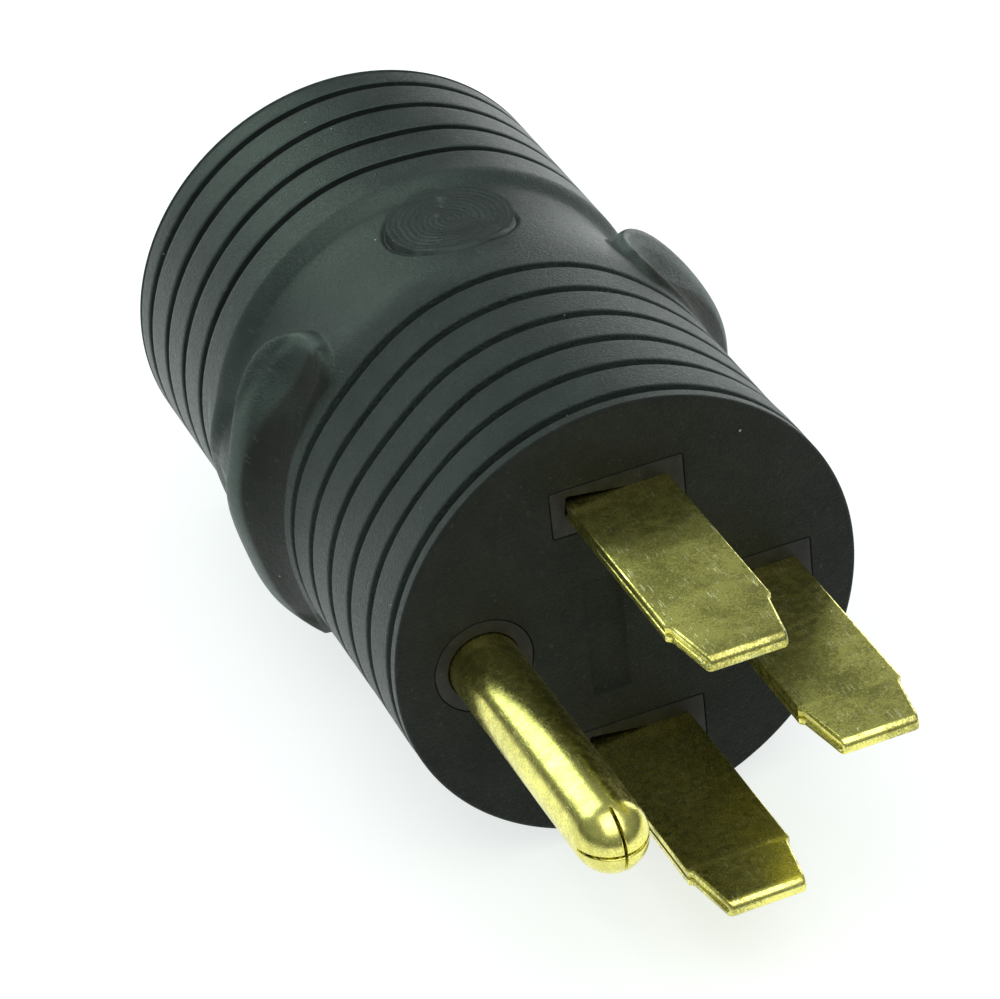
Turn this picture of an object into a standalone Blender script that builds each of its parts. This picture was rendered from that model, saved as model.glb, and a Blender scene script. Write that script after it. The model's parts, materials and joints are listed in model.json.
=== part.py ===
"""Heavy duty plug adapter: four prongs at one end, a three-hole socket at the other, one moulded jacket.

Units are metres and +Z is up. The adapter lies on its side on the plane Z = 0 with its axis along Y. The
prongs point along -Y, the socket opens along +Y, and X runs from the ground pin towards the neutral prong.
The origin is on the ground plane, under the middle of the whole adapter.

Every piece is a child of the empty ADAPTER, whose own origin is on the axis at the male face. A "station"
is a distance along the axis from the male face: positive into the body, negative along the prongs.
"""

import math

import bmesh
import bpy
from mathutils import Vector

MM = 0.001

# Jacket
BODY_LENGTH = 82.0 * MM
BAND_RADIUS = 27.1 * MM
FACE_EDGE_RADIUS = 0.6 * MM
REAR_EDGE_RADIUS = 1.5 * MM
SIDES = 62  # 4n + 2, so the jacket rests on a flat facet and is the same on both sides
GROOVE_WIDTH = 1.0 * MM
GROOVE_DEPTH = 1.1 * MM
GROOVE_PITCH = 5.72 * MM
MALE_FIRST_GROOVE = 2.2 * MM
MALE_GROOVES = 6
FEMALE_FIRST_GROOVE = 60.5 * MM
FEMALE_GROOVES = 4
FRONT_WALL = 5.0 * MM
CAVITY_RADIUS = 22.8 * MM

# Waist and finger flanges
WAIST_START = 31.6 * MM
WAIST_END = 57.0 * MM
WAIST_LOW_STATION = 51.8 * MM
WAIST_DIP = 1.5 * MM
FLANGE_RADIUS = 31.1 * MM
FLANGE_CREST_STATION = 41.0 * MM
FLANGE_TOP_ANGLE = math.radians(47)  # above and below the level of the axis
FLANGE_BOTTOM_ANGLE = math.radians(43)
FLANGE_END_DROP = 3.2 * MM  # how far the crest sinks towards its top end
FLANGE_LOW_DIP = 1.0 * MM  # below the level of the axis the crest is this much lower
FLANGE_DIP_ANGLE = math.radians(14)
FLANGE_TOP_POWER = 2.4
FLANGE_BOTTOM_POWER = 6
SCOOP_POWER = 1.3
GATE_DISC_STATION = 45.6 * MM
GATE_DISC_RADIUS = 7.2 * MM
GATE_DISC_HEIGHT = 26.0 * MM

# Blank recessed panel in the male face
PANEL_SIZE = (4.6 * MM, 15.3 * MM)
PANEL_CENTRE = (-2.8 * MM, -1.0 * MM)
PANEL_DEPTH = 0.3 * MM

# Prongs: 1.25 in between the hot blades' centres, 0.55 in to the neutral, 0.67 in to the ground pin
HOT_OFFSET = 15.88 * MM
NEUTRAL_OFFSET = 13.97 * MM
GROUND_OFFSET = 17.0 * MM
BLADE_WIDTH = 11.9 * MM
BLADE_THICKNESS = 2.03 * MM
BLADE_LENGTH = 32.4 * MM
BLADE_SHOULDER = 24.8 * MM
BLADE_SHOULDER_STEP = 0.45 * MM
BLADE_TIP_WIDTH = 8.8 * MM
BLADE_EDGE = 0.22 * MM
BLADE_ROOT_THICKNESS = 1.9 * MM  # pressed a little thinner where it enters the carrier
BLADE_ROOT_STATION = -0.4 * MM
PIN_RADIUS = 4.04 * MM
PIN_LENGTH = 37.0 * MM
PIN_DOME = 4.4 * MM
PIN_SPLIT_WIDTH = 0.45 * MM
PIN_SPLIT_DEPTH = 3.6 * MM
TAIL_WIDTH = 5.0 * MM
STEP_STATION = 11.0 * MM  # where a prong narrows, inside the carrier

# Prong carrier
CARRIER_FRONT = 5.3 * MM
CARRIER_BACK = 14.0 * MM
INNER_RADIUS = 22.5 * MM
BOSS_SIZE = (15.4 * MM, 5.7 * MM)
BOSS_CORNER = 0.7 * MM
GROUND_BOSS_RADIUS = 5.65 * MM

# Crimp barrels and wires
BARREL_RADIUS = 2.5 * MM
BARREL_BORE = 1.8 * MM
MALE_BARREL = (14.5 * MM, 22.0 * MM)
FEMALE_BARREL = (52.5 * MM, 61.9 * MM)
BARREL_FLOOR = 1.0 * MM
FEMALE_BARREL_FLOOR = 1.9 * MM
WIRE_RADIUS = 1.45 * MM
INSULATION_RADIUS = 2.4 * MM
INSULATION_WALL = 0.65 * MM
TUNNEL_RADIUS = 2.95 * MM
WIRE_STATIONS = (15.9 * MM, 59.6 * MM)
INSULATION_STATIONS = (22.4 * MM, 52.1 * MM)

# Socket end
CORE_STATIONS = (14.3 * MM, 56.7 * MM)
CAP_STATIONS = (57.0 * MM, 60.0 * MM)
SOCKET_BLOCK_STATIONS = (60.3 * MM, BODY_LENGTH)
CHAMBER_END = 78.2 * MM
SLOT_CENTRE = (4.0 * MM, 8.5 * MM)
SLOT_SLANT = math.radians(45)
SLOT_SIZE = (2.4 * MM, 9.6 * MM)
FLAT_CHAMBER_SIZE = (6.4 * MM, 11.4 * MM)
SOCKET_GROUND_OFFSET = 11.0 * MM
GROUND_HOLE_RADIUS = 3.6 * MM
GROUND_CHAMBER_RADIUS = 5.6 * MM
CONTACT_STATIONS = (61.5 * MM, 77.8 * MM)
CONTACT_WIDTH = 9.0 * MM
LEAF_THICKNESS = 1.0 * MM
LEAF_GAP = 2.0 * MM
SLEEVE_BORE = 3.45 * MM
SLEEVE_RADIUS = 4.3 * MM
SLEEVE_SLIT = 0.8 * MM
SPRING_STATIONS = (68.0 * MM, 74.0 * MM)
SPRING_THICKNESS = 0.5 * MM

GAP = 0.3 * MM  # between neighbours that touch

AXIS_HEIGHT = BAND_RADIUS * math.cos(math.pi / SIDES)
AXIS_MIDDLE = (BODY_LENGTH - PIN_LENGTH) / 2

# name: (red, green, blue), roughness, metallic
MATERIALS = {
    "black_vinyl": ((0.030, 0.034, 0.033), 0.55, 0.0),
    "black_nylon": ((0.022, 0.022, 0.022), 0.45, 0.0),
    "grey_filler": ((0.22, 0.22, 0.21), 0.60, 0.0),
    "brass": ((0.62, 0.52, 0.19), 0.30, 1.0),
    "spring_steel": ((0.56, 0.57, 0.58), 0.35, 1.0),
    "copper": ((0.72, 0.36, 0.20), 0.35, 1.0),
    "black_insulation": ((0.03, 0.03, 0.03), 0.50, 0.0),
    "white_insulation": ((0.80, 0.80, 0.77), 0.50, 0.0),
    "green_insulation": ((0.05, 0.32, 0.10), 0.50, 0.0),
}


def clear_scene():
    for obj in list(bpy.data.objects):
        bpy.data.objects.remove(obj)


def new_collection(name):
    collection = bpy.data.collections.new(name)
    bpy.context.scene.collection.children.link(collection)
    return collection


clear_scene()
PARTS = new_collection("plug_adapter")
CUTTERS = new_collection("cutters")
ADAPTER = bpy.data.objects.new("adapter_axis", None)
ADAPTER.location = (0, -AXIS_MIDDLE, AXIS_HEIGHT)
PARTS.objects.link(ADAPTER)


def make_materials():
    for name, (colour, roughness, metallic) in MATERIALS.items():
        material = bpy.data.materials.new(name)
        material.use_nodes = True
        shader = material.node_tree.nodes["Principled BSDF"]
        shader.inputs["Base Color"].default_value = (*colour, 1)
        shader.inputs["Roughness"].default_value = roughness
        shader.inputs["Metallic"].default_value = metallic


def place(obj, location=(0, 0, 0), rotation=(0, 0, 0)):
    """Puts an object in the adapter's own frame."""
    obj.parent = ADAPTER
    obj.location = location
    obj.rotation_euler = rotation
    return obj


def as_part(obj, material, smooth=True):
    PARTS.objects.link(obj)
    obj.data.materials.clear()
    obj.data.materials.append(bpy.data.materials[material])
    if smooth and obj.type == "MESH":
        obj.data.shade_smooth()
        obj.data.set_sharp_from_angle(angle=math.radians(35))
    return obj


def as_cutter(obj):
    CUTTERS.objects.link(obj)
    obj.hide_render = True
    obj.display_type = "WIRE"
    return obj


def combine(obj, operation, other):
    boolean = obj.modifiers.new(f"{operation.lower()} {other.name}", "BOOLEAN")
    boolean.operation = operation
    boolean.solver = "EXACT"
    boolean.object = other


def evaluated_mesh(obj):
    """The object's mesh with its modifiers applied and a curve's loose caps joined to its sides."""
    bpy.context.scene.collection.objects.link(obj)
    bpy.context.view_layer.update()
    mesh = bpy.data.meshes.new_from_object(obj.evaluated_get(bpy.context.evaluated_depsgraph_get()))
    bpy.context.scene.collection.objects.unlink(obj)
    shape = bmesh.new()
    shape.from_mesh(mesh)
    bmesh.ops.remove_doubles(shape, verts=shape.verts, dist=0.001 * MM)
    bmesh.ops.recalc_face_normals(shape, faces=shape.faces)
    shape.to_mesh(mesh)
    shape.free()
    return mesh


def turned(name, profile, centre=(0, 0), sides=24):
    """A solid turned about a line along Y through centre (x, z). The profile is (radius, station) points
    that run down the outer side, from the highest station to the lowest."""
    mesh = bpy.data.meshes.new(name)
    points = [(radius, 0, station) for radius, station in profile]
    mesh.from_pydata(points, [(i, i + 1) for i in range(len(points) - 1)], [])
    obj = bpy.data.objects.new("profile", mesh)
    screw = obj.modifiers.new("turn", "SCREW")
    screw.axis = "Z"
    screw.steps = sides
    screw.render_steps = sides
    screw.use_merge_vertices = True
    screw.merge_threshold = 0.001 * MM
    solid = bpy.data.objects.new(name, evaluated_mesh(obj))
    bpy.data.objects.remove(obj)
    return place(solid, (centre[0], 0, centre[1]), (-math.pi / 2, 0, 0))


def rod(name, radius, stations, centre=(0, 0), sides=24):
    low, high = stations
    return turned(name, [(0, high), (radius, high), (radius, low), (0, low)], centre, sides)


def flat_outline(name, outlines, thickness):
    """A plate in the local XY plane, centred on it. The first outline is its edge, the others are holes."""
    curve = bpy.data.curves.new(name, "CURVE")
    curve.dimensions = "2D"
    curve.fill_mode = "BOTH"
    curve.extrude = thickness / 2
    for outline in outlines:
        spline = curve.splines.new("POLY")
        spline.points.add(len(outline) - 1)
        for point, (x, y) in zip(spline.points, outline):
            point.co = (x, y, 0, 1)
        spline.use_cyclic_u = True
    obj = bpy.data.objects.new("outline", curve)
    solid = bpy.data.objects.new(name, evaluated_mesh(obj))
    bpy.data.objects.remove(obj)
    return solid


def axial_prism(name, outline, stations, centre=(0, 0), slant=0.0):
    """An outline in (x, z) extruded along the axis between two stations, then turned by slant about it."""
    low, high = stations
    solid = flat_outline(name, [outline], high - low)
    return place(solid, (centre[0], (low + high) / 2, centre[1]), (math.pi / 2, slant, 0))


def rectangle(width, height, corner=0.0, steps=3):
    if not corner:
        x, y = width / 2, height / 2
        return [(-x, -y), (x, -y), (x, y), (-x, y)]
    points = []
    for quarter, (side, end) in enumerate(((1, 1), (-1, 1), (-1, -1), (1, -1))):
        x = side * (width / 2 - corner)
        y = end * (height / 2 - corner)
        for step in range(steps + 1):
            angle = math.pi / 2 * (quarter + step / steps)
            points.append((x + corner * math.cos(angle), y + corner * math.sin(angle)))
    return points


def grown(size, by):
    return tuple(side + 2 * by for side in size)


def tube(name, points, radius, resolution=2, capped=True):
    curve = bpy.data.curves.new(name, "CURVE")
    curve.dimensions = "3D"
    curve.bevel_depth = radius
    curve.bevel_resolution = resolution
    curve.use_fill_caps = capped
    spline = curve.splines.new("POLY")
    spline.points.add(len(points) - 1)
    for point, place_on_route in zip(spline.points, points):
        point.co = (*place_on_route, 1)
    obj = bpy.data.objects.new("route", curve)
    solid = bpy.data.objects.new(name, evaluated_mesh(obj))
    bpy.data.objects.remove(obj)
    return place(solid)


# ---------------------------------------------------------------- jacket


def smooth_step(value):
    value = min(max(value, 0.0), 1.0)
    return value * value * (3 - 2 * value)


def waist_radius(station):
    """The waist sinks gently behind the male band and turns up into the female band."""
    if station <= WAIST_LOW_STATION:
        sunk = smooth_step((station - WAIST_START) / (WAIST_LOW_STATION - WAIST_START))
    else:
        sunk = 1 - smooth_step((station - WAIST_LOW_STATION) / (WAIST_END - WAIST_LOW_STATION))
    return BAND_RADIUS - WAIST_DIP * sunk


def flange_radius(station, angle, base):
    """The jacket's radius where a finger flange stands on it: scooped out in front, a long slope behind."""
    up = angle if math.cos(angle) > 0 else math.copysign(math.pi - abs(angle), angle)
    if up > 0:
        share = up / FLANGE_TOP_ANGLE
        crest = FLANGE_RADIUS - FLANGE_END_DROP * share**FLANGE_TOP_POWER
    else:
        share = -up / FLANGE_BOTTOM_ANGLE
        crest = FLANGE_RADIUS - FLANGE_LOW_DIP * smooth_step(-up / FLANGE_DIP_ANGLE)
        crest -= (FLANGE_END_DROP - FLANGE_LOW_DIP) * share**FLANGE_BOTTOM_POWER
    if share >= 1:
        return base
    if station <= FLANGE_CREST_STATION:
        rise = smooth_step((station - WAIST_START) / (FLANGE_CREST_STATION - WAIST_START)) ** SCOOP_POWER
    else:
        rise = 1 - smooth_step((station - FLANGE_CREST_STATION) / (WAIST_END - FLANGE_CREST_STATION))
    return base + max(crest - base, 0) * rise


def gate_disc_radius(station, angle, radius):
    """A round flat moulding mark on top of the waist, just proud of its surface."""
    across = radius * math.cos(angle)
    along = station - GATE_DISC_STATION
    if math.sin(angle) <= 0 or math.hypot(across, along) > GATE_DISC_RADIUS:
        return radius
    return max(radius, GATE_DISC_HEIGHT / math.sin(angle))


def groove_stations(first, count):
    return [first + GROOVE_PITCH * index for index in range(count)]


def grooved_band(stations):
    """Profile points of a ribbed band, from its lowest groove to its highest."""
    points = []
    for station in stations:
        points.append((BAND_RADIUS, station - GROOVE_WIDTH / 2))
        points.append((BAND_RADIUS - GROOVE_DEPTH, station))
        points.append((BAND_RADIUS, station + GROOVE_WIDTH / 2))
    return points


def rounded_edge(station, radius, towards):
    """Profile points of a rounded edge that starts on the end face. towards is +1 or -1 along the axis."""
    points = []
    for step in range(4):
        angle = math.pi / 2 * step / 3
        inset = radius * (1 - math.sin(angle))
        depth = radius * (1 - math.cos(angle))
        points.append((BAND_RADIUS - inset, station + towards * depth))
    return points


def jacket_profile():
    waist = [33, 34.5, 36, 37.5, 39, 40, 41, 42, 43.5, 46, 48.5, 51, 52.6, 53.8, 55, WAIST_END / MM]
    outer = rounded_edge(0, FACE_EDGE_RADIUS, 1)
    outer += grooved_band(groove_stations(MALE_FIRST_GROOVE, MALE_GROOVES))
    outer += [(waist_radius(station * MM), station * MM) for station in [WAIST_START / MM] + waist]
    outer += grooved_band(groove_stations(FEMALE_FIRST_GROOVE, FEMALE_GROOVES))
    outer += reversed(rounded_edge(BODY_LENGTH, REAR_EDGE_RADIUS, -1))
    inner = [(0, FRONT_WALL), (CAVITY_RADIUS, FRONT_WALL), (CAVITY_RADIUS, BODY_LENGTH)]
    return inner + outer[::-1] + [(0, 0)]


def raise_flanges(mesh):
    """Draws the finger flanges and the gate disc out of the turned waist, whose mesh turns about its Z."""
    for vertex in mesh.vertices:
        x, y, station = vertex.co
        radius = math.hypot(x, y)
        if radius < CAVITY_RADIUS + 1 * MM or not WAIST_START - GAP < station < WAIST_END + GAP:
            continue
        angle = math.atan2(-y, x)
        wanted = gate_disc_radius(station, angle, flange_radius(station, angle, radius))
        vertex.co.x = x * wanted / radius
        vertex.co.y = y * wanted / radius


def prong_places():
    """name: (x, z) of each prong's centre line."""
    return {
        "hot_x": (0, -HOT_OFFSET),
        "hot_y": (0, HOT_OFFSET),
        "neutral": (NEUTRAL_OFFSET, 0),
        "ground": (-GROUND_OFFSET, 0),
    }


def boss(name, prong, stations, gap=0.0):
    centre = prong_places()[prong]
    if prong == "ground":
        return rod(name, GROUND_BOSS_RADIUS + gap, stations, centre, 32)
    outline = rectangle(*grown(BOSS_SIZE, gap), BOSS_CORNER + gap)
    return axial_prism(name, outline, stations, centre)


def make_body_overmould():
    body = turned("body_overmould", jacket_profile(), sides=SIDES)
    raise_flanges(body.data)
    for prong in prong_places():
        window = boss(f"window_{prong}", prong, (-1 * MM, FRONT_WALL + 2 * MM), GAP)
        combine(body, "DIFFERENCE", as_cutter(window))
    panel = axial_prism("face_panel", rectangle(*PANEL_SIZE), (-1 * MM, PANEL_DEPTH), PANEL_CENTRE)
    combine(body, "DIFFERENCE", as_cutter(panel))
    as_part(body, "black_vinyl")


# ---------------------------------------------------------------- prongs and their carrier


def make_male_insert():
    """The prong carrier: a disc behind the face with a boss around each prong, flush with the face."""
    insert = rod("male_insert", INNER_RADIUS, (CARRIER_FRONT, CARRIER_BACK), sides=SIDES)
    for prong in prong_places():
        added = boss(f"boss_{prong}", prong, (0, CARRIER_FRONT + 2 * MM))
        combine(insert, "UNION", as_cutter(added))
    for prong, centre in prong_places().items():
        wide = (-1 * MM, STEP_STATION + GAP)
        narrow = (STEP_STATION - 1 * MM, CARRIER_BACK + 1 * MM)
        if prong == "ground":
            front = rod("passage_ground", PIN_RADIUS + GAP, wide, centre)
            back = rod("passage_ground_tail", BARREL_RADIUS + GAP, narrow, centre)
        else:
            blade = grown((BLADE_WIDTH, BLADE_THICKNESS), GAP)
            tail = grown((TAIL_WIDTH, BLADE_THICKNESS), GAP)
            front = axial_prism(f"passage_{prong}", rectangle(*blade), wide, centre)
            back = axial_prism(f"passage_{prong}_tail", rectangle(*tail), narrow, centre)
        combine(insert, "DIFFERENCE", as_cutter(front))
        combine(insert, "DIFFERENCE", as_cutter(back))
    as_part(insert, "black_nylon")


def barrel_profile(stations, floor, opens_up):
    """A crimp barrel with a blind bore. opens_up says which end is open."""
    low, high = stations
    if opens_up:
        bottom = low + floor
        bore = [(0, bottom), (BARREL_BORE, bottom), (BARREL_BORE, high)]
        return bore + [(BARREL_RADIUS, high), (BARREL_RADIUS, low), (0, low)]
    bottom = high - floor
    bore = [(BARREL_BORE, low), (BARREL_BORE, bottom), (0, bottom)]
    return [(0, high), (BARREL_RADIUS, high), (BARREL_RADIUS, low)] + bore


def blade_plan(tail_end):
    """A blade's outline in (x, station) from above."""
    half = BLADE_WIDTH / 2
    right = [
        (TAIL_WIDTH / 2, tail_end),
        (TAIL_WIDTH / 2, STEP_STATION),
        (half, STEP_STATION),
        (half, -BLADE_SHOULDER),
        (half - BLADE_SHOULDER_STEP, -BLADE_SHOULDER - BLADE_SHOULDER_STEP),
        (BLADE_TIP_WIDTH / 2, -BLADE_LENGTH),
    ]
    return right + [(-x, station) for x, station in reversed(right)]


def blade_side(tail_end, steps=5):
    """A blade's outline in (station, z) from the side: a thinner root, the plate and a round nose."""
    root = BLADE_ROOT_THICKNESS / 2
    full = BLADE_THICKNESS / 2
    above = [(tail_end + 1 * MM, root), (BLADE_ROOT_STATION, root), (BLADE_ROOT_STATION, full)]
    for step in range(steps):
        angle = math.pi / 2 * step / steps
        above.append((full - BLADE_LENGTH - full * math.sin(angle), full * math.cos(angle)))
    return above + [(-BLADE_LENGTH, 0)] + [(station, -z) for station, z in reversed(above)]


def make_blade(prong, wired):
    x, z = prong_places()[prong]
    tail_end = MALE_BARREL[0] + 0.6 * MM if wired else CARRIER_BACK
    blade = place(flat_outline(f"prong_{prong}", [blade_plan(tail_end)], BLADE_THICKNESS), (x, 0, z))
    edges = blade.modifiers.new("edges", "BEVEL")
    edges.width = BLADE_EDGE
    edges.segments = 1
    edges.limit_method = "ANGLE"
    edges.angle_limit = math.radians(60)
    side = flat_outline(f"side_{prong}", [blade_side(tail_end)], BLADE_WIDTH + 4 * MM)
    combine(blade, "INTERSECT", as_cutter(place(side, (x, 0, z), (math.pi / 2, 0, math.pi / 2))))
    if wired:
        barrel = turned(f"barrel_{prong}", barrel_profile(MALE_BARREL, BARREL_FLOOR, True), (x, z))
        combine(blade, "UNION", as_cutter(barrel))
    as_part(blade, "brass")


def make_ground_pin():
    centre = prong_places()["ground"]
    low, high = MALE_BARREL
    profile = barrel_profile((low, high), BARREL_FLOOR, True)[:4]
    profile += [(BARREL_RADIUS, STEP_STATION), (PIN_RADIUS, STEP_STATION)]
    dome_station = PIN_DOME - PIN_LENGTH
    steps = 7
    for step in range(steps + 1):
        angle = math.pi / 2 * step / steps
        profile.append((PIN_RADIUS * math.cos(angle), dome_station - PIN_DOME * math.sin(angle)))
    profile[-1] = (0, -PIN_LENGTH)
    pin = turned("prong_ground", profile, centre, 32)
    for name, size in (
        ("split_level", (12 * MM, PIN_SPLIT_WIDTH)),
        ("split_upright", (PIN_SPLIT_WIDTH, 12 * MM)),
    ):
        stations = (-PIN_LENGTH - 1 * MM, -PIN_LENGTH + PIN_SPLIT_DEPTH)
        combine(pin, "DIFFERENCE", as_cutter(axial_prism(name, rectangle(*size), stations, centre)))
    as_part(pin, "brass")


# ---------------------------------------------------------------- wires and filling


def contact_places():
    """name: (x, z) of each socket contact's centre line."""
    x, z = SLOT_CENTRE
    return {"hot": (x, -z), "neutral": (x, z), "ground": (-SOCKET_GROUND_OFFSET, 0)}


WIRED = {"hot": "hot_x", "neutral": "neutral", "ground": "ground"}


def wire_route(wire, low, high):
    """The wire's centre line from station low to station high: straight in the barrels, then one S bend."""
    x0, z0 = prong_places()[WIRED[wire]]
    x1, z1 = contact_places()[wire]
    bend_start, bend_end = INSULATION_STATIONS
    steps = 12
    stations = [bend_start + (bend_end - bend_start) * step / steps for step in range(steps + 1)]
    route = []
    for station in [low] + stations + [high]:
        share = smooth_step((station - bend_start) / (bend_end - bend_start))
        route.append(Vector((x0 + (x1 - x0) * share, station, z0 + (z1 - z0) * share)))
    return route


def make_wires():
    for wire in WIRED:
        route = wire_route(wire, *WIRE_STATIONS)
        as_part(tube(f"conductor_{wire}", route, WIRE_RADIUS), "copper")
        sleeve = tube(f"insulation_{wire}", route[1:-1], INSULATION_RADIUS, capped=False)
        wall = sleeve.modifiers.new("wall", "SOLIDIFY")
        wall.thickness = INSULATION_WALL
        wall.offset = -1
        wall.use_even_offset = True
        colour = {"hot": "black", "neutral": "white", "ground": "green"}[wire]
        as_part(sleeve, f"{colour}_insulation")


def make_inner_core():
    """The hard filling between the carrier and the socket block, with a tunnel for each wire."""
    core = rod("inner_core", INNER_RADIUS, CORE_STATIONS, sides=SIDES)
    low, high = CORE_STATIONS
    for wire in WIRED:
        route = wire_route(wire, low - 2 * MM, high + 2 * MM)
        tunnel = tube(f"tunnel_{wire}", route, TUNNEL_RADIUS, resolution=3)
        combine(core, "DIFFERENCE", as_cutter(tunnel))
    as_part(core, "grey_filler")


# ---------------------------------------------------------------- socket end


def slot_turn(wire):
    """A flat contact's turn about the axis. The two slots spread apart towards the ground hole."""
    return -SLOT_SLANT if wire == "neutral" else SLOT_SLANT - math.pi


def make_female_insert():
    block = rod("female_insert", INNER_RADIUS, SOCKET_BLOCK_STATIONS, sides=SIDES)
    back, front = SOCKET_BLOCK_STATIONS
    chamber = (back - 1 * MM, CHAMBER_END)
    mouth = (CHAMBER_END - 1 * MM, front + 1 * MM)
    for wire, centre in contact_places().items():
        if wire == "ground":
            room = rod("chamber_ground", GROUND_CHAMBER_RADIUS, chamber, centre)
            hole = rod("mouth_ground", GROUND_HOLE_RADIUS, mouth, centre)
        else:
            turn = slot_turn(wire)
            room = axial_prism(f"chamber_{wire}", rectangle(*FLAT_CHAMBER_SIZE), chamber, centre, turn)
            hole = axial_prism(f"mouth_{wire}", rectangle(*SLOT_SIZE), mouth, centre, turn)
        combine(block, "DIFFERENCE", as_cutter(room))
        combine(block, "DIFFERENCE", as_cutter(hole))
    as_part(block, "black_nylon")


def make_female_insert_cap():
    cap = rod("female_insert_cap", INNER_RADIUS, CAP_STATIONS, sides=SIDES)
    low, high = CAP_STATIONS
    for wire, centre in contact_places().items():
        hole = rod(f"cap_hole_{wire}", BARREL_RADIUS + GAP, (low - 1 * MM, high + 1 * MM), centre)
        combine(cap, "DIFFERENCE", as_cutter(hole))
    as_part(cap, "black_nylon")


def make_flat_contact(wire):
    """Two leaves folded from one strip, closed at the back, with a crimp barrel behind."""
    x, z = contact_places()[wire]
    low, high = CONTACT_STATIONS
    gap = LEAF_GAP / 2
    outside = gap + LEAF_THICKNESS
    right = [
        (outside, low),
        (outside, high - 0.6 * MM),
        (outside + 0.3 * MM, high),
        (gap + 0.6 * MM, high),
        (gap, high - 1.5 * MM),
        (gap, low + 1.5 * MM),
    ]
    outline = right + [(-t, s) for t, s in reversed(right)]
    contact = flat_outline(f"contact_{wire}", [outline], CONTACT_WIDTH)
    place(contact, (x, 0, z), (0, slot_turn(wire), 0))
    profile = barrel_profile(FEMALE_BARREL, FEMALE_BARREL_FLOOR, False)
    barrel = turned(f"barrel_{wire}_contact", profile, (x, z))
    combine(contact, "UNION", as_cutter(barrel))
    as_part(contact, "brass")


def make_ground_contact():
    """A turned sleeve with a crimp barrel behind, slit into four fingers at its mouth."""
    centre = contact_places()["ground"]
    low, high = CONTACT_STATIONS
    floor = low + 1.5 * MM
    barrel_low, barrel_high = FEMALE_BARREL
    bottom = barrel_high - FEMALE_BARREL_FLOOR
    profile = [
        (0, floor),
        (SLEEVE_BORE, floor),
        (SLEEVE_BORE, high),
        (SLEEVE_RADIUS, high),
        (SLEEVE_RADIUS, low),
        (BARREL_RADIUS, low),
        (BARREL_RADIUS, barrel_low),
        (BARREL_BORE, barrel_low),
        (BARREL_BORE, bottom),
        (0, bottom),
    ]
    sleeve = turned("contact_ground", profile, centre, 32)
    for name, size in (("slit_level", (12 * MM, SLEEVE_SLIT)), ("slit_upright", (SLEEVE_SLIT, 12 * MM))):
        slit = axial_prism(name, rectangle(*size), (low + 4 * MM, high + 1 * MM), centre)
        combine(sleeve, "DIFFERENCE", as_cutter(slit))
    as_part(sleeve, "brass")


def c_ring(inner, outer, half_opening, steps=16):
    """A round C in (x, z), open towards +x."""
    angles = [half_opening + (2 * math.pi - 2 * half_opening) * step / steps for step in range(steps + 1)]
    around = [(outer * math.cos(angle), outer * math.sin(angle)) for angle in angles]
    back = [(inner * math.cos(angle), inner * math.sin(angle)) for angle in reversed(angles)]
    return around + back


def c_clip(inner, outer, half_opening):
    """A rectangular C: (half thickness, half width) inside and outside, open towards +width."""
    t, w = outer
    t_in, w_in = inner
    right = [(half_opening, w), (t, w), (t, -w)]
    inside = [(half_opening, w_in), (t_in, w_in), (t_in, -w_in)]
    mirrored = [(-a, b) for a, b in reversed(right)]
    mirrored_inside = [(-a, b) for a, b in reversed(inside)]
    return right + mirrored + mirrored_inside[::-1] + inside[::-1]


def make_contact_springs():
    clear = LEAF_GAP / 2 + LEAF_THICKNESS + GAP, CONTACT_WIDTH / 2 + GAP
    outside = tuple(side + SPRING_THICKNESS for side in clear)
    for wire in ("hot", "neutral"):
        outline = c_clip(clear, outside, 1.2 * MM)
        centre = contact_places()[wire]
        clip = axial_prism(f"contact_spring_{wire}", outline, SPRING_STATIONS, centre, slot_turn(wire))
        as_part(clip, "spring_steel", smooth=False)
    inner = SLEEVE_RADIUS + GAP
    ring = c_ring(inner, inner + SPRING_THICKNESS, math.radians(20))
    clip = axial_prism("contact_spring_ground", ring, SPRING_STATIONS, contact_places()["ground"])
    as_part(clip, "spring_steel")


def build():
    make_materials()
    make_body_overmould()
    make_male_insert()
    make_blade("hot_x", wired=True)
    make_blade("hot_y", wired=False)
    make_blade("neutral", wired=True)
    make_ground_pin()
    make_wires()
    make_inner_core()
    make_female_insert()
    make_female_insert_cap()
    make_flat_contact("hot")
    make_flat_contact("neutral")
    make_ground_contact()
    make_contact_springs()


build()
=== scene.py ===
"""The looks of a four-prong plug adapter with a three-hole socket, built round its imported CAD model.

A "station" is a distance along the adapter's axis from the male face, in metres: positive into the body,
negative along the prongs. x and z are measured from the axis, so (x, station, z) is a place on the adapter.
"""

import json
import math

import bmesh
import bpy
import numpy as np
from mathutils import Matrix, Vector


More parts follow.
